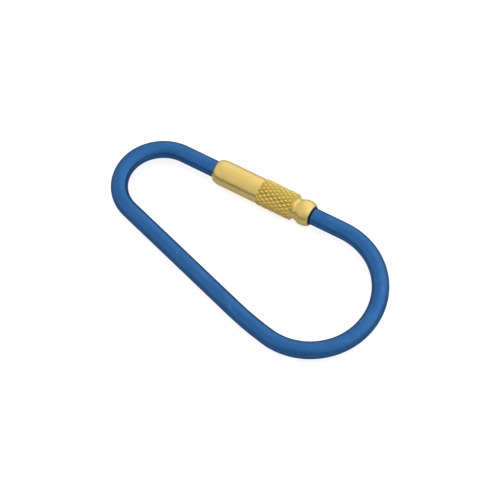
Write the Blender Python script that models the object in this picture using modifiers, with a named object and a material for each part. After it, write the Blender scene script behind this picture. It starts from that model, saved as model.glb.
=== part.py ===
"""A locking carabiner: a round wire ring bent to an asymmetric D, closed by a screw sleeve on its gate side.

Metres, +Z up. The ring lies flat in a horizontal plane with its gate axis along X and its spine on the -Y
side. The origin is the centre of the footprint, at the height of the lowest point, the underside of the
sleeve's grip.

Both ends of the wire are threaded. The sleeve is tapped under its grip and bored clear under its smooth
barrel, so it screws off the right-hand end and along the left-hand one, towards -X, and leaves a gap between
the two ends. The ring in its mouth travels with it and doesn't turn.
"""

from math import cos, pi, radians, sin, tan

import bmesh
import bpy
from mathutils import Matrix, Vector

# Wire
WIRE_RADIUS = 0.0020
WIRE_SIDES = 16
BEND_STEP = radians(6.0)

# Bends round the ring, from the left end of the gate by way of the spine to its right end
SMALL_BEND_RADIUS = 0.0101
SMALL_BEND_ANGLE = radians(57.0)
HEEL_RADIUS = 0.0095
HEEL_ANGLE = radians(105.7)
SPINE_CURVE_RADIUS = 0.0830
SPINE_CURVE_ANGLE = radians(7.3)
LARGE_BEND_RADIUS = 0.0152
LARGE_BEND_ANGLE = radians(88.0)
NOSE_RADIUS = 0.0167
NOSE_ANGLE = 2 * pi - SMALL_BEND_ANGLE - HEEL_ANGLE - SPINE_CURVE_ANGLE - LARGE_BEND_ANGLE

# Places along the gate axis, from the start of the small bend
SLEEVE_START = 0.0088
LEFT_THREAD_START = 0.0156
LEFT_TIP = 0.0266
RIGHT_TIP = 0.0304
RIGHT_THREAD_END = 0.0335

# Thread, metric coarse for the wire's diameter
PITCH = 0.0007
THREAD_ANGLE = radians(30.0)
THREAD_MAJOR = WIRE_RADIUS
THREAD_MINOR = THREAD_MAJOR - 0.625 * PITCH * cos(THREAD_ANGLE)
THREAD_PLAY = 0.00003
THREAD_STEPS = 24
TIP_RADIUS = 0.00150
BLANK_RADIUS = 0.0022
OVERLAP = 0.0006

# Sleeve, lengths from its left end
SLEEVE_LENGTH = 0.0254
SLEEVE_RADIUS = 0.00305
SLEEVE_BORE = 0.00208
LEFT_LIP_RADIUS = 0.0022
DOME_LENGTH = 0.0023
GRIP_START = 0.01205
GRIP_END = 0.0208
GRIP_RADIUS = 0.00325
GRIP_CHAMFER = 0.00015
NECK_START = 0.0212
NECK_END = 0.0218
NECK_RADIUS = 0.00248
COLLAR_START = 0.0230
COLLAR_ROUND = 0.0018
MOUTH_RADIUS = 0.00235
TAPPED_START = 0.0151
TAPPED_END = 0.0242
PILOT_RADIUS = 0.00167
RING_SEAT_RADIUS = 0.00245
RING_SEAT_LENGTH = 0.0008
LIP_HOLE_RADIUS = 0.00225
SLEEVE_STEPS = 48

# Ring held in the sleeve's mouth
RING_CLEARANCE = 0.00005
RING_PROUD = 0.00028
RING_ROUND = 0.00005

BRASS = (0.62, 0.47, 0.17)
BLUE = (0.020, 0.120, 0.325)
BLACK = (0.012, 0.012, 0.012)


def clear_scene():
    for obj in list(bpy.data.objects):
        bpy.data.objects.remove(obj, do_unlink=True)


def new_collection(name):
    collection = bpy.data.collections.new(name)
    bpy.context.scene.collection.children.link(collection)
    return collection


def principled(name, colour, roughness, metallic):
    """A Principled material, colour in linear RGB."""
    material = bpy.data.materials.new(name)
    material.use_nodes = True
    shader = material.node_tree.nodes["Principled BSDF"]
    shader.inputs["Base Color"].default_value = (*colour, 1.0)
    shader.inputs["Roughness"].default_value = roughness
    shader.inputs["Metallic"].default_value = metallic
    return material


def ring_path():
    """The ring's centre line from the small bend's start to the nose's end, and the gate's length.

    Two of its lengths aren't free: the spine is as long as brings the line back to the gate axis.
    """
    arcs = [
        (SMALL_BEND_RADIUS, SMALL_BEND_ANGLE),
        (HEEL_RADIUS, HEEL_ANGLE),
        (SPINE_CURVE_RADIUS, SPINE_CURVE_ANGLE),
        (LARGE_BEND_RADIUS, LARGE_BEND_ANGLE),
        (NOSE_RADIUS, NOSE_ANGLE),
    ]
    before_spine = arcs[:2]
    after_spine = arcs[2:]
    spine_heading = pi + SMALL_BEND_ANGLE + HEEL_ANGLE
    drop = arc_run(before_spine, pi).y + arc_run(after_spine, spine_heading).y
    spine_length = -drop / sin(spine_heading)

    points = [Vector((0.0, 0.0))]
    heading = add_arcs(points, before_spine, pi)
    points.append(points[-1] + spine_length * direction(heading))
    add_arcs(points, after_spine, heading)
    return points


def direction(heading):
    return Vector((cos(heading), sin(heading)))


def arc_run(arcs, heading):
    """How far a chain of left-hand arcs carries a point that sets off at a heading."""
    run = Vector((0.0, 0.0))
    for radius, angle in arcs:
        run += radius * (direction(heading - pi / 2 + angle) - direction(heading - pi / 2))
        heading += angle
    return run


def add_arcs(points, arcs, heading):
    """Adds the points of a chain of left-hand arcs to the list, and returns the heading at its end."""
    for radius, angle in arcs:
        centre = points[-1] - radius * direction(heading - pi / 2)
        count = max(2, round(angle / BEND_STEP))
        for i in range(1, count + 1):
            points.append(centre + radius * direction(heading - pi / 2 + angle * i / count))
        heading += angle
    return heading


def place_from_gate(path):
    """Where the gate's zero goes, so that the origin is the footprint's centre at the underside."""
    low_x = min(p.x for p in path) - WIRE_RADIUS
    high_x = max(p.x for p in path) + WIRE_RADIUS
    low_y = min(p.y for p in path) - WIRE_RADIUS
    high_y = GRIP_RADIUS
    return Vector((-(low_x + high_x) / 2, -(low_y + high_y) / 2, GRIP_RADIUS))


def along_gate(gate_zero, distance):
    """World matrix of a turned piece whose local Z is the gate axis, a distance from the gate's zero."""
    return Matrix.Translation(gate_zero + Vector((distance, 0.0, 0.0))) @ Matrix.Rotation(pi / 2, 4, "Y")


def add_object(name, mesh, collection, matrix):
    obj = bpy.data.objects.new(name, mesh)
    collection.objects.link(obj)
    obj.matrix_world = matrix
    return obj


def swept(name, profile, closed, collection, matrix, steps, offset=0.0, turns=1):
    """A profile of (radius, height) points swept about local Z, and up it by an offset for each turn."""
    vertices = [(radius, 0.0, height) for radius, height in profile]
    edges = [(i, i + 1) for i in range(len(vertices) - 1)]
    if closed:
        edges.append((len(vertices) - 1, 0))
    mesh = bpy.data.meshes.new(name)
    mesh.from_pydata(vertices, edges, [])
    obj = add_object(name, mesh, collection, matrix)
    screw = obj.modifiers.new("Turn", "SCREW")
    screw.axis = "Z"
    screw.angle = 2 * pi
    screw.screw_offset = offset
    screw.iterations = turns
    screw.steps = steps
    screw.render_steps = steps
    screw.use_merge_vertices = True
    screw.merge_threshold = 0.000001
    return obj


def bake(obj, weld=0.000001, cap=False):
    """Replaces an object by the mesh its modifiers or its curve make, with its caps welded on."""
    bpy.context.view_layer.update()
    depsgraph = bpy.context.evaluated_depsgraph_get()
    mesh = bpy.data.meshes.new_from_object(obj.evaluated_get(depsgraph))
    name = obj.name
    matrix = obj.matrix_world.copy()
    collection = obj.users_collection[0]
    bpy.data.objects.remove(obj, do_unlink=True)
    work = bmesh.new()
    work.from_mesh(mesh)
    bmesh.ops.remove_doubles(work, verts=work.verts, dist=weld)
    if cap:
        bmesh.ops.holes_fill(work, edges=work.edges, sides=0)
        bmesh.ops.recalc_face_normals(work, faces=work.faces)
    work.to_mesh(mesh)
    work.free()
    return add_object(name, mesh, collection, matrix)


def as_cutter(obj):
    obj.hide_render = True
    obj.display_type = "WIRE"
    return obj


def boolean(obj, operation, other):
    modifier = obj.modifiers.new(other.name, "BOOLEAN")
    modifier.operation = operation
    modifier.solver = "EXACT"
    modifier.object = other


def shade(obj, material):
    obj.data.materials.clear()
    obj.data.materials.append(material)
    obj.data.shade_smooth()
    obj.data.set_sharp_from_angle(angle=radians(30.0))


def tooth_half_width(radius, play):
    """Half the axial width of the wire thread's tooth at a radius, on the nominal thread grown by a play."""
    return PITCH / 16 + (THREAD_MAJOR - radius) * tan(THREAD_ANGLE) + play / cos(THREAD_ANGLE)


def thread_bar(name, root, crest, play, start, end, gate_zero, collection):
    """A threaded bar along the gate axis. Its teeth are in step with every other bar's on that axis."""
    crest_half = tooth_half_width(crest, play)
    root_half = tooth_half_width(root, play)
    profile = [
        (root, PITCH - root_half),
        (root, root_half),
        (crest, crest_half),
        (crest, -crest_half),
        (root, -root_half),
    ]
    first_turn = round(start / PITCH)
    turns = round(end / PITCH) - first_turn
    matrix = along_gate(gate_zero, first_turn * PITCH)
    bar = swept(name, profile, False, collection, matrix, THREAD_STEPS, PITCH, turns)
    return as_cutter(bake(bar, cap=True))


def threaded_stud(name, root_end, tip, gate_zero, cutters):
    """A thread on the wire's end, from inside the wire to a chamfered tip. The tip may be on either side."""
    away = 1.0 if tip > root_end else -1.0
    length = abs(tip - root_end) + OVERLAP
    chamfer = BLANK_RADIUS - TIP_RADIUS
    profile = [
        (0.0, length),
        (TIP_RADIUS, length),
        (BLANK_RADIUS, length - chamfer),
        (BLANK_RADIUS, 0.0),
        (0.0, 0.0),
    ]
    matrix = along_gate(gate_zero, root_end - away * OVERLAP)
    if away < 0:
        matrix = matrix @ Matrix.Rotation(pi, 4, "X")
    blank = as_cutter(bake(swept(name, profile, False, cutters, matrix, THREAD_STEPS)))
    low = min(root_end, tip) - 3 * PITCH
    high = max(root_end, tip) + 3 * PITCH
    root = THREAD_MINOR - THREAD_PLAY
    crest = THREAD_MAJOR - THREAD_PLAY
    bar = thread_bar(name + "_thread", root, crest, -THREAD_PLAY, low, high, gate_zero, cutters)
    boolean(blank, "INTERSECT", bar)
    return as_cutter(bake(blank))


def make_wire_frame(path, gate_zero, parts, cutters, material):
    """The bent wire, with its flats facing up, down, in and out, and its two threaded ends."""
    route = [Vector((LEFT_THREAD_START, 0.0))] + path + [Vector((RIGHT_THREAD_END, 0.0))]
    curve = bpy.data.curves.new("wire_frame", "CURVE")
    curve.dimensions = "3D"
    curve.twist_mode = "Z_UP"
    curve.bevel_depth = WIRE_RADIUS / cos(pi / WIRE_SIDES)
    curve.bevel_resolution = (WIRE_SIDES - 4) // 2
    curve.use_fill_caps = True
    spline = curve.splines.new("POLY")
    spline.points.add(len(route) - 1)
    for point, place in zip(spline.points, route):
        point.co = (place.x, place.y, 0.0, 1.0)
        point.tilt = pi / WIRE_SIDES
    wire = bake(add_object("wire_frame", curve, parts, Matrix.Translation(gate_zero)), weld=0.00001)
    left = threaded_stud("left_stud", LEFT_THREAD_START, LEFT_TIP, gate_zero, cutters)
    right = threaded_stud("right_stud", RIGHT_THREAD_END, RIGHT_TIP, gate_zero, cutters)
    boolean(wire, "UNION", left)
    boolean(wire, "UNION", right)
    shade(wire, material)
    return wire


def sleeve_profile():
    """The sleeve's closed section as (radius, height), down its outer side and back up its bore."""
    steps = 6
    collar_centre = SLEEVE_LENGTH - COLLAR_ROUND
    collar_rise = SLEEVE_RADIUS - MOUTH_RADIUS
    dome_rise = SLEEVE_RADIUS - LEFT_LIP_RADIUS
    profile = []
    for i in range(steps + 1):
        angle = pi / 2 * i / steps
        profile.append((MOUTH_RADIUS + collar_rise * sin(angle), collar_centre + COLLAR_ROUND * cos(angle)))
    profile += [
        (SLEEVE_RADIUS, COLLAR_START),
        (NECK_RADIUS, NECK_END),
        (NECK_RADIUS, NECK_START),
        (GRIP_RADIUS - GRIP_CHAMFER, GRIP_END),
        (GRIP_RADIUS, GRIP_END - GRIP_CHAMFER),
        (GRIP_RADIUS, GRIP_START + GRIP_CHAMFER),
        (SLEEVE_RADIUS, GRIP_START),
    ]
    for i in range(steps + 1):
        angle = pi / 2 * i / steps
        profile.append((LEFT_LIP_RADIUS + dome_rise * cos(angle), DOME_LENGTH * (1 - sin(angle))))
    profile += [
        (SLEEVE_BORE, 0.0),
        (SLEEVE_BORE, TAPPED_START),
        (PILOT_RADIUS, TAPPED_START + SLEEVE_BORE - PILOT_RADIUS),
        (PILOT_RADIUS, TAPPED_END),
        (RING_SEAT_RADIUS, TAPPED_END),
        (RING_SEAT_RADIUS, TAPPED_END + RING_SEAT_LENGTH),
        (LIP_HOLE_RADIUS, TAPPED_END + RING_SEAT_LENGTH),
        (LIP_HOLE_RADIUS, SLEEVE_LENGTH),
    ]
    return profile


def make_lock_sleeve(gate_zero, parts, cutters, material):
    """The screw sleeve, with its origin on the gate axis at its left end."""
    matrix = along_gate(gate_zero, SLEEVE_START)
    sleeve = swept("lock_sleeve", sleeve_profile(), True, parts, matrix, SLEEVE_STEPS)
    low = SLEEVE_START + TAPPED_START - 3 * PITCH
    high = SLEEVE_START + TAPPED_END + 3 * PITCH
    crest = THREAD_MAJOR + THREAD_PLAY
    tap = thread_bar("tap", TIP_RADIUS, crest, THREAD_PLAY, low, high, gate_zero, cutters)
    boolean(sleeve, "DIFFERENCE", tap)
    shade(sleeve, material)
    return sleeve


def make_mouth_ring(gate_zero, parts, material):
    """The ring in the sleeve's mouth round the wire: a flange held in its seat, and a lip standing proud."""
    inner = SLEEVE_BORE
    flange = RING_SEAT_RADIUS - RING_CLEARANCE
    lip = LIP_HOLE_RADIUS - RING_CLEARANCE
    flange_length = RING_SEAT_LENGTH - 2 * RING_CLEARANCE
    start = SLEEVE_START + TAPPED_END + RING_CLEARANCE
    length = SLEEVE_START + SLEEVE_LENGTH + RING_PROUD - start
    profile = [
        (inner, length),
        (lip - RING_ROUND, length),
        (lip, length - RING_ROUND),
        (lip, flange_length),
        (flange, flange_length),
        (flange, 0.0),
        (inner, 0.0),
    ]
    ring = swept("mouth_ring", profile, True, parts, along_gate(gate_zero, start), SLEEVE_STEPS)
    shade(ring, material)
    return ring


def main():
    clear_scene()
    parts = new_collection("locking_carabiner")
    cutters = new_collection("cutters")
    path = ring_path()
    gate_zero = place_from_gate(path)
    make_wire_frame(path, gate_zero, parts, cutters, principled("blue_anodised", BLUE, 0.35, 0.9))
    make_lock_sleeve(gate_zero, parts, cutters, principled("brass", BRASS, 0.3, 1.0))
    make_mouth_ring(gate_zero, parts, principled("black_rubber", BLACK, 0.6, 0.0))


main()
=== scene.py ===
"""The looks of a locking carabiner: a blue anodised wire ring and its knurled brass screw sleeve.

Lengths are in metres. The wire, the sleeve and the ring in its mouth are each one closed skin, made of rows
of points round the piece's own axis. The rows of the threads follow the thread's helix, so the wire's threads
and the sleeve's mesh as real ones do.
"""

from math import cos, pi, radians, sin, tan

import bmesh
import bpy
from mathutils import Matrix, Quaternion, Vector


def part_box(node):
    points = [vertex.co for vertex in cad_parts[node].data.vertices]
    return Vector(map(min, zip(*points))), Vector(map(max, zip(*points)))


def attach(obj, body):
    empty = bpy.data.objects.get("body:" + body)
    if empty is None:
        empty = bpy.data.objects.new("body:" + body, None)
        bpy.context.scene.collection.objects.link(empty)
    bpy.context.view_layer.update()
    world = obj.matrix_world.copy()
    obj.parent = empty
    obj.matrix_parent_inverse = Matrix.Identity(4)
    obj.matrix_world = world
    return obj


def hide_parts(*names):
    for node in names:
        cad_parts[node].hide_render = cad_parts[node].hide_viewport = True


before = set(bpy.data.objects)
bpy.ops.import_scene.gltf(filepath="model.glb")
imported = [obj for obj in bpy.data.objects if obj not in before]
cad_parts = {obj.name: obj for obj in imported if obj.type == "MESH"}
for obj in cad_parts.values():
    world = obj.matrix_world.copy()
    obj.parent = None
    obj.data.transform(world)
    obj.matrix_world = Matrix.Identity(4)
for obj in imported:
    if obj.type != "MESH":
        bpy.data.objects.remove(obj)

# Wire, with the radius and angle of each bend in order, from the gate's left end round to its right end
WIRE_RADIUS = 0.0020
WIRE_SIDES = 64
BENDS_BEFORE_SPINE = [(0.0101, radians(57.0)), (0.0095, radians(105.7))]
BENDS_AFTER_SPINE = [(0.0830, radians(7.3)), (0.0152, radians(88.0)), (0.0167, radians(102.0))]
BEND_STEP = radians(1.5)
STRAIGHT_STEP = 0.0006

# Places along the gate axis, from its left end, where the first bend starts
SLEEVE_START = 0.0088
LEFT_THREAD_START = 0.0156
LEFT_TIP = 0.0266
RIGHT_TIP = 0.0304
RIGHT_THREAD_END = 0.0335

# Metric thread, right-handed: the angle is half of that between its flanks, and the rows are those in a turn
PITCH = 0.0007
THREAD_ANGLE = radians(30.0)
THREAD_DEPTH = 0.625 * PITCH * cos(THREAD_ANGLE)
CREST_HALF_WIDTH = PITCH / 16
THREAD_PLAY = 0.00003
WIRE_THREAD_ROWS = 16
SLEEVE_THREAD_ROWS = 8
TIP_RADIUS = 0.00150
RUN_OUT = 1.2 * PITCH

# Sleeve, with places along it from its left end
SLEEVE_LENGTH = 0.0254
SLEEVE_RADIUS = 0.00305
SLEEVE_BORE = 0.00208
LEFT_LIP_RADIUS = 0.0022
DOME_LENGTH = 0.0023
GRIP_START = 0.01205
GRIP_END = 0.0208
GRIP_RADIUS = 0.00325
NECK_START = 0.0212
NECK_END = 0.0218
NECK_RADIUS = 0.00248
NECK_ROUND = 0.00035
COLLAR_START = 0.0230
COLLAR_ROUND = 0.0018
MOUTH_RADIUS = 0.00235
TAPPED_START = 0.0151
TAPPED_END = 0.0242
PILOT_RADIUS = 0.00167
RING_SEAT_RADIUS = 0.00245
RING_SEAT_LENGTH = 0.0008
LIP_HOLE_RADIUS = 0.00225
EDGE_BREAK = 0.00004
END_STEPS = 16
NECK_STEPS = 6

# Diamond knurl on the grip: KNURL_FLAT is the share of a full pyramid's height where its tip is cut flat
KNURL_TEETH = 18
KNURL_HELIX = radians(33.0)
KNURL_LEAD = 2 * pi * GRIP_RADIUS / tan(KNURL_HELIX)
KNURL_DEPTH = 0.00026
KNURL_FLAT = 0.80
KNURL_FADE = 0.00012
SIDES_PER_TOOTH = 12
SLEEVE_SIDES = KNURL_TEETH * SIDES_PER_TOOTH

# Ring in the sleeve's mouth
RING_CLEARANCE = 0.00005
RING_PROUD = 0.00028
RING_ROUND = 0.00008
RING_ROUND_STEPS = 4
RING_SEAM = 0.0001
RING_SIDES = 96

# Points closer than WELD are one point, the rounding of a corner takes up to ROUND_SHARE of the edges beside
# it, and edges sharper than the two angles stay sharp in the shading
WELD = 1e-7
ROUND_SHARE = 0.45
THREAD_SHARP = radians(40.0)
KNURL_SHARP = radians(28.0)

# Camera: the point of the ring's plane that it looks at, and where it stands, its azimuth from -Y towards +X
AIM = (0.00186, 0.00081)
CAMERA_AZIMUTH = radians(35.4)
CAMERA_ELEVATION = radians(60.0)
CAMERA_ROLL = radians(-5.5)
CAMERA_DISTANCE = 0.6586
CAMERA_LENS_MM = 209.0
CAMERA_SENSOR_MM = 36.0

# Light table, and how strongly it glows for the camera and in reflections
TABLE_SIZE = 6.0
TABLE_GLOW = 0.68
TABLE_GLOW_REFLECTED = 0.13

# Tent: its brightness, that of its parts next to it, and the sines of the heights between which the gap opens
TENT_STRENGTH = 1.12
TENT_FRONT = 0.60
TENT_LEFT = 0.94
TENT_RIGHT = 1.34
TENT_GAP = 0.12
GAP_BOTTOM = 0.05
GAP_TOP = 0.13

# Materials, with linear colours
MICRON = 1e-6
WHITE = (1.0, 1.0, 1.0, 1.0)
DEEP_BLUE = (0.006, 0.078, 0.236, 1.0)
LIGHT_BLUE = (0.012, 0.100, 0.282, 1.0)
DRAWN_BLUE = (0.020, 0.135, 0.370, 1.0)
SCUFFED_BLUE = (0.120, 0.270, 0.480, 1.0)
BARE_ALUMINIUM = (0.42, 0.46, 0.50, 1.0)
ANODISED_EDGE = (0.30, 0.35, 0.40, 1.0)
DULL_BRASS = (0.625, 0.462, 0.145, 1.0)
BRIGHT_BRASS = (0.685, 0.512, 0.172, 1.0)
GRIP_BRASS = (0.620, 0.460, 0.105, 1.0)
GROOVE_DARK_BRASS = (0.40, 0.275, 0.058, 1.0)
MARKED_BRASS = (0.45, 0.33, 0.12, 1.0)
BLACK_RUBBER = (0.002, 0.002, 0.002, 1.0)
DUSTY_RUBBER = (0.025, 0.024, 0.022, 1.0)
TABLE_SHADE = (0.49, 0.49, 0.49, 1.0)
TABLE_WHITE = (0.51, 0.51, 0.51, 1.0)


class Skin:
    """One closed surface, gathered patch by patch. Its points keep their place on the straightened piece."""

    def __init__(self, place):
        """The place function gives the point for a distance along, a radius and a turn round the axis."""
        self.place = place
        self.points = []
        self.straight = []
        self.faces = []

    def add_point(self, along, radius, turn):
        """A point by its distance along the axis, its distance from the axis and its angle round it."""
        self.points.append(self.place(along, radius, turn))
        self.straight.append((along, radius * cos(turn), radius * sin(turn)))
        return len(self.points) - 1

    def add_rows(self, rows, split=None):
        """Joins rows of (along, radius, turn) points. A split function adds a point to each face's middle."""
        indices = [[self.add_point(*point) for point in row] for row in rows]
        for i in range(len(rows) - 1):
            for j in range(len(rows[i]) - 1):
                corners = [indices[i][j], indices[i][j + 1], indices[i + 1][j + 1], indices[i + 1][j]]
                if split is None:
                    self.faces.append(corners)
                    continue
                middle = self.add_point(*split(rows[i][j], rows[i + 1][j + 1]))
                for k in range(4):
                    self.faces.append([corners[k], corners[(k + 1) % 4], middle])

    def add_cap(self, row):
        """Closes the surface with a flat face on a row of points."""
        self.faces.append([self.add_point(*point) for point in row[:-1]])

    def build(self, name, sharp_angle):
        """The object with the patches' edges welded, and smooth shading up to an angle."""
        mesh = bpy.data.meshes.new(name)
        mesh.from_pydata(self.points, [], self.faces)
        straight = mesh.attributes.new("straight", "FLOAT_VECTOR", "POINT")
        straight.data.foreach_set("vector", [value for point in self.straight for value in point])
        work = bmesh.new()
        work.from_mesh(mesh)
        bmesh.ops.remove_doubles(work, verts=work.verts, dist=WELD)
        bmesh.ops.recalc_face_normals(work, faces=work.faces)
        work.to_mesh(mesh)
        work.free()
        mesh.shade_smooth()
        mesh.set_sharp_from_angle(angle=sharp_angle)
        obj = bpy.data.objects.new(name, mesh)
        bpy.context.scene.collection.objects.link(obj)
        return obj


def ring_row(along, radius, sides):
    """A round row of points, with its first point repeated at its end."""
    return [(along, radius, 2 * pi * j / sides) for j in range(sides + 1)]


def helix_rows(low, high, radius_at, sides, phase, rows_per_turn):
    """Rows that follow the thread. Where they would pass the low or high place, they are held at it."""
    step = PITCH / rows_per_turn
    first = int((low - phase) / step) - rows_per_turn - 1
    last = int((high - phase) / step) + 2
    rows = []
    for i in range(first, last):
        row = []
        for j in range(sides + 1):
            along = phase + i * step + PITCH * j / sides
            along = min(max(along, low), high)
            turn = 2 * pi * j / sides
            row.append((along, radius_at(along, turn), turn))
        rows.append(row)
    return rows


def thread_radius(along_gate, turn_about_x, play):
    """The thread's surface at a place on the gate axis and a turn about it from +Y, grown by a play."""
    turns = along_gate / PITCH - (turn_about_x + pi / 2) / (2 * pi)
    from_crest = abs(turns - round(turns)) * PITCH
    fall = (from_crest - CREST_HALF_WIDTH) / tan(THREAD_ANGLE)
    return WIRE_RADIUS - min(max(fall, 0.0), THREAD_DEPTH) + play


def ease(value):
    """A smooth step from 0 to 1."""
    value = min(max(value, 0.0), 1.0)
    return value * value * (3 - 2 * value)


def direction(heading):
    """The unit vector of a heading in the ring's plane."""
    return Vector((cos(heading), sin(heading), 0.0))


def arc_run(arcs, heading):
    """How far a chain of left-hand arcs carries a point that sets off at a heading."""
    run = Vector()
    for radius, angle in arcs:
        run += radius * (direction(heading - pi / 2 + angle) - direction(heading - pi / 2))
        heading += angle
    return run


class WireRoute:
    """The wire's centre line, from the left thread's tip to the right one's.

    Its stretches are each a start and a length along the wire, a first point, a heading there, and a radius,
    which is None where the wire is straight.
    """

    def __init__(self, gate_zero):
        """The spine and the gate are as long as it takes for the bends to close the ring.

        The gate axis runs from gate_zero along +X, and the wire leaves its left tip towards -X.
        """
        spine_heading = pi + sum(angle for _, angle in BENDS_BEFORE_SPINE)
        bends = arc_run(BENDS_BEFORE_SPINE, pi) + arc_run(BENDS_AFTER_SPINE, spine_heading)
        spine = -bends.y / sin(spine_heading)
        gate = (bends + spine * direction(spine_heading)).x
        self.stretches = []
        self.length = 0.0
        self.end = gate_zero + Vector((LEFT_TIP, 0.0, 0.0))
        self.heading = pi
        self.add_straight(LEFT_TIP)
        for radius, angle in BENDS_BEFORE_SPINE:
            self.add_arc(radius, angle)
        self.add_straight(spine)
        for radius, angle in BENDS_AFTER_SPINE:
            self.add_arc(radius, angle)
        self.add_straight(gate - RIGHT_TIP)

    def add_straight(self, length):
        self.stretches.append((self.length, length, self.end.copy(), self.heading, None))
        self.end += length * direction(self.heading)
        self.length += length

    def add_arc(self, radius, angle):
        self.stretches.append((self.length, radius * angle, self.end.copy(), self.heading, radius))
        self.end += arc_run([(radius, angle)], self.heading)
        self.heading += angle
        self.length += radius * angle

    def at(self, along):
        """The centre line's point and heading at a distance from its start."""
        stretch = [item for item in self.stretches if item[0] <= along + WELD][-1]
        start, _, point, heading, radius = stretch
        past = along - start
        if radius is None:
            return point + past * direction(heading), heading
        turned = past / radius
        centre = point - radius * direction(heading - pi / 2)
        return centre + radius * direction(heading - pi / 2 + turned), heading + turned

    def place(self, along, radius, turn):
        """A point round the centre line. Turn 0 is towards the ring's inside, and a quarter turn on is up."""
        point, heading = self.at(along)
        side = direction(heading + pi / 2)
        return point + radius * (cos(turn) * side + sin(turn) * Vector((0.0, 0.0, 1.0)))

    def stations(self, low, high):
        """Distances for rows between two places, close together in the bends."""
        found = {low, high}
        for start, length, _, _, radius in self.stretches:
            step = STRAIGHT_STEP if radius is None else radius * BEND_STEP
            count = max(1, round(length / step))
            found.update(start + length * k / count for k in range(count + 1))
        kept = sorted(value for value in found if low <= value <= high)
        return [value for k, value in enumerate(kept) if k == 0 or value - kept[k - 1] > WELD]


def thread_roots(wire_length):
    """Where the wire's two threads end, along the wire from its left tip."""
    return LEFT_TIP - LEFT_THREAD_START, wire_length - (RIGHT_THREAD_END - RIGHT_TIP)


def make_wire(route):
    """The whole wire: its left thread, the bent ring and its right thread, in one skin."""
    skin = Skin(route.place)
    left_root, right_root = thread_roots(route.length)

    def threaded_radius(along_gate, turn, from_root, from_tip):
        """The threaded surface, which runs out at its root and is chamfered at its tip.

        On the gate the wire heads along -X, so it counts its turns the other way from the thread.
        """
        thread = thread_radius(along_gate, pi - turn, -THREAD_PLAY)
        radius = WIRE_RADIUS + (thread - WIRE_RADIUS) * ease(from_root / RUN_OUT)
        return min(radius, TIP_RADIUS + from_tip)

    def left_radius(along, turn):
        return threaded_radius(LEFT_TIP - along, turn, left_root - along, along)

    def right_radius(along, turn):
        from_tip = route.length - along
        return threaded_radius(RIGHT_TIP + from_tip, turn, along - right_root, from_tip)

    def add_thread(low, high, radius_at, gate_start):
        """Rows that meet the thread's crests, from the place on the gate axis that is 0 along the wire."""
        phase = gate_start % PITCH + PITCH / 4
        skin.add_rows(helix_rows(low, high, radius_at, WIRE_SIDES, phase, WIRE_THREAD_ROWS))

    add_thread(0.0, left_root, left_radius, LEFT_TIP)
    plain_places = route.stations(left_root, right_root)
    skin.add_rows([ring_row(along, WIRE_RADIUS, WIRE_SIDES) for along in plain_places])
    add_thread(right_root, route.length, right_radius, route.length + RIGHT_TIP)
    for tip in (0.0, route.length):
        skin.add_cap(ring_row(tip, TIP_RADIUS, WIRE_SIDES))
    return skin.build("anodised_ring", THREAD_SHARP)


def turned_place(zero):
    """The place function of a piece turned about the gate axis, with the sleeve's left end at zero."""

    def place(along, radius, turn):
        return zero + Vector((along, radius * cos(turn), radius * sin(turn)))

    return place


def rounded(points, radius, steps):
    """A profile of (along, radius) points, with each corner between its ends rounded."""
    made = [Vector(points[0])]
    for before, corner, after in zip(points, points[1:], points[2:]):
        before, corner, after = Vector(before), Vector(corner), Vector(after)
        reach = min(radius, (corner - before).length * ROUND_SHARE, (after - corner).length * ROUND_SHARE)
        start = corner + (before - corner).normalized() * reach
        end = corner + (after - corner).normalized() * reach
        for i in range(steps + 1):
            t = i / steps
            made.append((1 - t) ** 2 * start + 2 * t * (1 - t) * corner + t ** 2 * end)
    made.append(Vector(points[-1]))
    return [tuple(point) for point in made]


def rounded_end(shoulder, rim, steps):
    """A quarter of an ellipse in (along, radius), from its level shoulder to the rim of an end face."""
    points = []
    for i in range(steps + 1):
        angle = pi / 2 * i / steps
        along = shoulder[0] + (rim[0] - shoulder[0]) * sin(angle)
        radius = rim[1] + (shoulder[1] - rim[1]) * cos(angle)
        points.append((along, radius))
    return points


def wave(value):
    """A triangle wave, 0 at whole numbers and 1 halfway between them."""
    return 2 * abs(value - round(value))


def knurl_radius(along, turn):
    """The grip's diamond knurl: pyramids with small flats between grooves that cross."""
    round_part = turn * KNURL_TEETH / (2 * pi)
    along_part = (along - GRIP_START) * KNURL_TEETH / KNURL_LEAD
    height = min(wave(round_part + along_part), wave(round_part - along_part), KNURL_FLAT) / KNURL_FLAT
    full = GRIP_RADIUS - KNURL_DEPTH * (1 - height)
    inset = min(along - GRIP_START, GRIP_END - along) / KNURL_FADE
    return SLEEVE_RADIUS + (full - SLEEVE_RADIUS) * min(max(inset, 0.0), 1.0)


def sleeve_rows(profile):
    """Round rows for a profile of (along, radius) points."""
    return [ring_row(along, radius, SLEEVE_SIDES) for along, radius in profile]


def knurl_rows():
    """Rows along the grip, spaced so that the knurl's grooves keep close to the faces' diagonals."""
    spacing = KNURL_LEAD / SLEEVE_SIDES
    count = round((GRIP_END - GRIP_START) / spacing)
    rows = []
    for i in range(count + 1):
        along = GRIP_START + (GRIP_END - GRIP_START) * i / count
        turns = [2 * pi * j / SLEEVE_SIDES for j in range(SLEEVE_SIDES + 1)]
        rows.append([(along, knurl_radius(along, turn), turn) for turn in turns])
    return rows


def knurl_middle(corner, opposite):
    """The point on the knurl in the middle of a face."""
    along = (corner[0] + opposite[0]) / 2
    turn = (corner[2] + opposite[2]) / 2
    return along, knurl_radius(along, turn), turn


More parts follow.
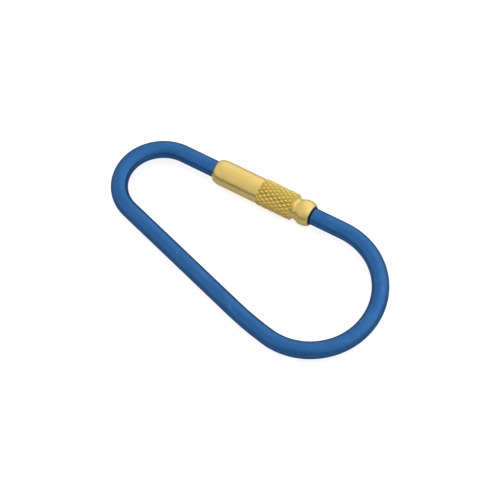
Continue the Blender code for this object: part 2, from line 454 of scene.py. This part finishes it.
def tapped_rows():
    """The rows of the sleeve's inner thread, with a lead-in at each end."""

    def radius_at(along, turn):
        thread = thread_radius(SLEEVE_START + along, turn, THREAD_PLAY)
        lead_in = SLEEVE_BORE - min(along - TAPPED_START, TAPPED_END - along)
        return max(thread, PILOT_RADIUS, lead_in)

    phase = (PITCH / 4 - SLEEVE_START) % PITCH
    return helix_rows(TAPPED_START, TAPPED_END, radius_at, SLEEVE_SIDES, phase, SLEEVE_THREAD_ROWS)


def make_sleeve(zero):
    """The brass sleeve: dome, barrel, knurled grip, neck and collar, over bore, thread and ring seat."""
    skin = Skin(turned_place(zero))

    left_edge = (0.0, SLEEVE_BORE + EDGE_BREAK)
    dome = rounded_end((DOME_LENGTH, SLEEVE_RADIUS), (0.0, LEFT_LIP_RADIUS), END_STEPS)
    barrel = [(GRIP_START - EDGE_BREAK, SLEEVE_RADIUS), (GRIP_START, SLEEVE_RADIUS)]
    skin.add_rows(sleeve_rows([left_edge] + dome[::-1] + barrel))

    skin.add_rows(knurl_rows(), knurl_middle)

    collar_end = (SLEEVE_LENGTH - COLLAR_ROUND, SLEEVE_RADIUS)
    neck = [
        (GRIP_END, SLEEVE_RADIUS),
        (NECK_START, NECK_RADIUS),
        (NECK_END, NECK_RADIUS),
        (COLLAR_START, SLEEVE_RADIUS),
        collar_end,
    ]
    collar = rounded_end(collar_end, (SLEEVE_LENGTH, MOUTH_RADIUS), END_STEPS)
    seat_end = TAPPED_END + RING_SEAT_LENGTH
    mouth = [
        (SLEEVE_LENGTH, LIP_HOLE_RADIUS),
        (seat_end, LIP_HOLE_RADIUS),
        (seat_end, RING_SEAT_RADIUS),
        (TAPPED_END, RING_SEAT_RADIUS),
        (TAPPED_END, SLEEVE_BORE),
    ]
    skin.add_rows(sleeve_rows(rounded(neck, NECK_ROUND, NECK_STEPS) + collar[1:] + mouth))

    skin.add_rows(tapped_rows())
    skin.add_rows(sleeve_rows([(TAPPED_START, SLEEVE_BORE), (EDGE_BREAK, SLEEVE_BORE), left_edge]))
    return skin.build("brass_sleeve", KNURL_SHARP)


def make_mouth_ring(zero):
    """The black ring in the sleeve's mouth, with a flange in its seat and a rounded lip that stands proud."""
    flange = RING_SEAT_RADIUS - RING_CLEARANCE
    lip = LIP_HOLE_RADIUS - RING_CLEARANCE
    start = TAPPED_END + RING_CLEARANCE
    shoulder = TAPPED_END + RING_SEAT_LENGTH - RING_CLEARANCE
    end = SLEEVE_LENGTH + RING_PROUD
    seam = (start, SLEEVE_BORE + RING_SEAM)
    outline = [
        seam,
        (start, flange),
        (shoulder, flange),
        (shoulder, lip),
        (end, lip),
        (end, SLEEVE_BORE),
        (start, SLEEVE_BORE),
        seam,
    ]
    profile = rounded(outline, RING_ROUND, RING_ROUND_STEPS)
    skin = Skin(turned_place(zero))
    skin.add_rows([ring_row(along, radius, RING_SIDES) for along, radius in profile])
    return skin.build("mouth_seal", THREAD_SHARP)


class Nodes:
    """A short way to write the nodes of a material or of the world."""

    def __init__(self, owner, shader):
        owner.use_nodes = True
        self.owner = owner
        self.tree = owner.node_tree
        self.shader = self.tree.nodes[shader]

    def add(self, kind, settings=None, **inputs):
        """Adds a node, with inputs by name, where _ stands for a space, or by number, as in i0."""
        node = self.tree.nodes.new(kind)
        for name, value in (settings or {}).items():
            setattr(node, name, value)
        for name, value in inputs.items():
            self.put(node, name.replace("_", " "), value)
        return node

    def put(self, node, name, value):
        """Sets an input by its name or number, to a value or to another node's output."""
        socket = node.inputs[int(name[1:])] if name[0] == "i" and name[1:].isdigit() else node.inputs[name]
        if isinstance(value, bpy.types.NodeSocket):
            self.tree.links.new(value, socket)
        else:
            socket.default_value = value

    def math(self, operation, first, second=0.0):
        return self.add("ShaderNodeMath", {"operation": operation}, i0=first, i1=second).outputs[0]

    def times(self, first, second):
        return self.math("MULTIPLY", first, second)

    def noise(self, place, scale, squeeze=(1.0, 1.0, 1.0), detail=2.0, roughness=0.5):
        """A noise from 0 to 1, its scale in grains to a metre. A squeeze below 1 draws the grains out."""
        vector = self.add("ShaderNodeMapping", Vector=place, Scale=squeeze).outputs[0]
        node = self.add("ShaderNodeTexNoise", Vector=vector, Scale=scale, Detail=detail, Roughness=roughness)
        return node.outputs["Fac"]

    def ramp(self, factor, low, high, to_low=0.0, to_high=1.0):
        """Maps a range of a factor to another range, and holds it there beyond the ends."""
        node = self.add("ShaderNodeMapRange", {"clamp": True})
        for number, value in enumerate((factor, low, high, to_low, to_high)):
            self.put(node, "i%d" % number, value)
        return node.outputs[0]

    def mix(self, factor, first, second):
        """A colour between two, the first where the factor is 0."""
        node = self.add("ShaderNodeMix", {"data_type": "RGBA"})
        self.put(node, "i0", factor)
        self.put(node, "i6", first)
        self.put(node, "i7", second)
        return node.outputs[2]

    def bump(self, height, distance, normal=None):
        """A normal for a height from 0 to 1 that stands for a distance, on top of another normal if given."""
        node = self.add("ShaderNodeBump", Distance=distance, Height=height)
        if normal is not None:
            self.put(node, "Normal", normal)
        return node.outputs[0]

    def straight(self):
        """Each point's place on the straightened piece: its distance along the axis and the two across."""
        return self.add("ShaderNodeAttribute", {"attribute_name": "straight"}).outputs["Vector"]

    def along_and_radius(self, straight):
        """The distance along the axis and the distance from it."""
        parts = self.add("ShaderNodeSeparateXYZ", Vector=straight)
        squares = [self.times(parts.outputs[i], parts.outputs[i]) for i in (1, 2)]
        return parts.outputs[0], self.math("SQRT", self.math("ADD", *squares))

    def toward(self, place, axis):
        """How far a place lies along an axis."""
        node = self.add("ShaderNodeVectorMath", {"operation": "DOT_PRODUCT"}, i0=place, i1=axis)
        return node.outputs["Value"]

    def finish(self, **inputs):
        """Sets the shader's inputs, and gives the material or world that the nodes are in."""
        for name, value in inputs.items():
            self.put(self.shader, name.replace("_", " "), value)
        return self.owner


def new_material(name):
    return Nodes(bpy.data.materials.new(name), "Principled BSDF")


def anodised_material(wire_length):
    """Satin blue anodising on drawn wire: lines along it, uneven dye, scuffs and worn thread crests."""
    n = new_material("blue_anodising")
    straight = n.straight()
    lines = n.noise(straight, scale=9000.0, squeeze=(0.02, 1.0, 1.0), detail=3.0)
    fine_lines = n.noise(straight, scale=26000.0, squeeze=(0.03, 1.0, 1.0))
    dye = n.noise(straight, scale=420.0, squeeze=(0.35, 1.0, 1.0), detail=3.0, roughness=0.6)
    grain = n.noise(straight, scale=15000.0)
    scuffs = n.noise(straight, scale=1500.0, squeeze=(0.25, 1.0, 1.0), detail=5.0, roughness=0.75)
    scuffed = n.ramp(scuffs, 0.60, 0.70)

    along, radius = n.along_and_radius(straight)
    left_root, right_root = thread_roots(wire_length)
    in_left = n.ramp(along, left_root - PITCH, left_root, 1.0, 0.0)
    in_thread = n.math("MAXIMUM", in_left, n.ramp(along, right_root, right_root + PITCH))
    crest = n.ramp(radius, WIRE_RADIUS - 3 * THREAD_PLAY, WIRE_RADIUS - THREAD_PLAY)
    worn = n.times(n.times(crest, in_thread), n.ramp(scuffs, 0.40, 0.56))

    colour = n.mix(n.ramp(dye, 0.3, 0.7), DEEP_BLUE, LIGHT_BLUE)
    colour = n.mix(n.times(n.ramp(lines, 0.35, 0.75), 0.35), colour, DRAWN_BLUE)
    colour = n.mix(n.times(scuffed, 0.55), colour, SCUFFED_BLUE)
    colour = n.mix(n.times(worn, 0.55), colour, BARE_ALUMINIUM)
    roughness = n.math("ADD", n.ramp(lines, 0.3, 0.7, 0.27, 0.37), n.times(scuffed, 0.10))
    normal = n.bump(lines, 1.6 * MICRON)
    normal = n.bump(fine_lines, 0.6 * MICRON, normal)
    normal = n.bump(grain, 0.7 * MICRON, normal)
    return n.finish(
        Base_Color=colour,
        Metallic=1.0,
        Roughness=roughness,
        Normal=normal,
        Specular_Tint=ANODISED_EDGE,
        Coat_Weight=0.30,
        Coat_Roughness=0.25,
        Coat_IOR=1.6,
    )


def brass_material():
    """Bright turned brass: fine rings round the axis, a darker colour in the knurl's grooves, and a few
    marks.
    """
    n = new_material("turned_brass")
    straight = n.straight()
    turning = n.noise(straight, scale=14000.0, squeeze=(1.0, 0.02, 0.02), detail=3.0)
    feed = n.noise(straight, scale=3600.0, squeeze=(1.0, 0.01, 0.01))
    tone = n.noise(straight, scale=520.0, squeeze=(0.6, 1.0, 1.0), detail=4.0, roughness=0.6)
    marks = n.noise(straight, scale=2100.0, squeeze=(0.8, 1.0, 0.4), detail=5.0, roughness=0.75)
    grain = n.noise(straight, scale=21000.0)
    marked = n.ramp(marks, 0.68, 0.80)

    along, radius = n.along_and_radius(straight)
    past_start = n.ramp(along, GRIP_START, GRIP_START + KNURL_FADE)
    before_end = n.ramp(along, GRIP_END - KNURL_FADE, GRIP_END, 1.0, 0.0)
    on_grip = n.times(past_start, before_end)
    groove = n.ramp(radius, GRIP_RADIUS - KNURL_DEPTH, GRIP_RADIUS - 0.35 * KNURL_DEPTH, 1.0, 0.0)
    hollow = n.times(groove, on_grip)

    colour = n.mix(n.ramp(tone, 0.3, 0.7), DULL_BRASS, BRIGHT_BRASS)
    colour = n.mix(n.times(on_grip, 0.7), colour, GRIP_BRASS)
    # The knurl's grooves are mixed towards a darker brass colour
    colour = n.mix(n.times(hollow, 0.75), colour, GROOVE_DARK_BRASS)
    colour = n.mix(n.times(marked, 0.25), colour, MARKED_BRASS)
    roughness = n.math("ADD", n.ramp(turning, 0.3, 0.7, 0.27, 0.35), n.times(hollow, 0.14))
    roughness = n.math("ADD", roughness, n.times(marked, 0.10))
    normal = n.bump(turning, 2.6 * MICRON)
    normal = n.bump(feed, 6.0 * MICRON, normal)
    normal = n.bump(grain, 0.6 * MICRON, normal)
    return n.finish(Base_Color=colour, Metallic=1.0, Roughness=roughness, Normal=normal)


def rubber_material():
    """Matt black rubber with a moulded grain and a little dust."""
    n = new_material("black_rubber")
    straight = n.straight()
    grain = n.noise(straight, scale=16000.0, detail=4.0, roughness=0.65)
    dust = n.ramp(n.noise(straight, scale=3000.0, detail=4.0, roughness=0.7), 0.60, 0.80)
    colour = n.mix(n.times(dust, 0.20), BLACK_RUBBER, DUSTY_RUBBER)
    roughness = n.ramp(grain, 0.3, 0.7, 0.50, 0.68)
    normal = n.bump(grain, 3.5 * MICRON)
    return n.finish(Base_Color=colour, Roughness=roughness, Specular_IOR_Level=0.2, Normal=normal)


def add_piece(obj, material, body, node):
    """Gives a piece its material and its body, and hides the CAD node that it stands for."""
    obj.data.materials.append(material)
    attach(obj, body)
    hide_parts(node)


def make_camera():
    """The photograph's camera, which looks down at the ring from the front right."""
    back = Vector((
        sin(CAMERA_AZIMUTH) * cos(CAMERA_ELEVATION),
        -cos(CAMERA_AZIMUTH) * cos(CAMERA_ELEVATION),
        sin(CAMERA_ELEVATION),
    ))
    data = bpy.data.cameras.new("camera")
    data.lens = CAMERA_LENS_MM
    data.sensor_width = CAMERA_SENSOR_MM
    camera = bpy.data.objects.new("camera", data)
    bpy.context.scene.collection.objects.link(camera)
    low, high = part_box("wire_frame")
    aim = Vector((AIM[0], AIM[1], (low.z + high.z) / 2))
    camera.location = aim + CAMERA_DISTANCE * back
    camera.rotation_mode = "QUATERNION"
    camera.rotation_quaternion = (-back).to_track_quat("-Z", "Y") @ Quaternion((0.0, 0.0, 1.0), CAMERA_ROLL)
    bpy.context.scene.camera = camera


def make_floor():
    """A white light table, lit from below as well as from the tent, so that shadows on it stay faint."""
    bpy.ops.mesh.primitive_plane_add(size=TABLE_SIZE, location=(0.0, 0.0, 0.0))
    floor = bpy.context.object
    floor.name = "floor"
    n = new_material("pale_floor")
    place = n.add("ShaderNodeTexCoord").outputs["Object"]
    tone = n.ramp(n.noise(place, scale=30.0, detail=3.0), 0.3, 0.7, 0.965, 1.0)
    in_reflection = n.add("ShaderNodeLightPath").outputs["Is Glossy Ray"]
    material = n.finish(
        Base_Color=n.mix(tone, TABLE_SHADE, TABLE_WHITE),
        Roughness=0.85,
        Specular_IOR_Level=0.1,
        Emission_Color=WHITE,
        Emission_Strength=n.ramp(in_reflection, 0.0, 1.0, TABLE_GLOW, TABLE_GLOW_REFLECTED),
    )
    floor.data.materials.append(material)


def make_world():
    """A white tent, brighter on the right and darker at its open front, which has a dark gap at the table."""
    world = bpy.data.worlds.new("tent")
    bpy.context.scene.world = world
    n = Nodes(world, "Background")
    sky = n.add("ShaderNodeTexCoord").outputs["Generated"]
    to_back = n.toward(sky, (-sin(CAMERA_AZIMUTH), cos(CAMERA_AZIMUTH), 0.0))
    to_right = n.toward(sky, (cos(CAMERA_AZIMUTH), sin(CAMERA_AZIMUTH), 0.0))
    height = n.toward(sky, (0.0, 0.0, 1.0))
    front = n.ramp(to_back, -1.0, -0.3, TENT_FRONT, 1.0)
    sides = n.ramp(to_right, -0.4, 0.4, TENT_LEFT, TENT_RIGHT)
    wall = n.times(front, sides)
    gap = n.ramp(height, GAP_BOTTOM, GAP_TOP, TENT_GAP, 1.0)
    open_gap = n.math("MAXIMUM", gap, n.ramp(to_back, -0.1, 0.3))
    n.finish(Color=WHITE, Strength=n.times(n.times(wall, open_gap), TENT_STRENGTH))


def main():
    """Builds the pieces on the frame, and the camera, floor and light round them."""
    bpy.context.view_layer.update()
    low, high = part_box("lock_sleeve")
    sleeve_zero = Vector((low.x, (low.y + high.y) / 2, (low.z + high.z) / 2))
    gate_zero = sleeve_zero - Vector((SLEEVE_START, 0.0, 0.0))

    route = WireRoute(gate_zero)
    wire = make_wire(route)
    sleeve = make_sleeve(sleeve_zero)
    ring = make_mouth_ring(sleeve_zero)
    add_piece(wire, anodised_material(route.length), "frame", "wire_frame")
    add_piece(sleeve, brass_material(), "sleeve", "lock_sleeve")
    add_piece(ring, rubber_material(), "mouth", "mouth_ring")

    make_camera()
    make_floor()
    make_world()
    bpy.context.scene.view_settings.view_transform = "Standard"


main()
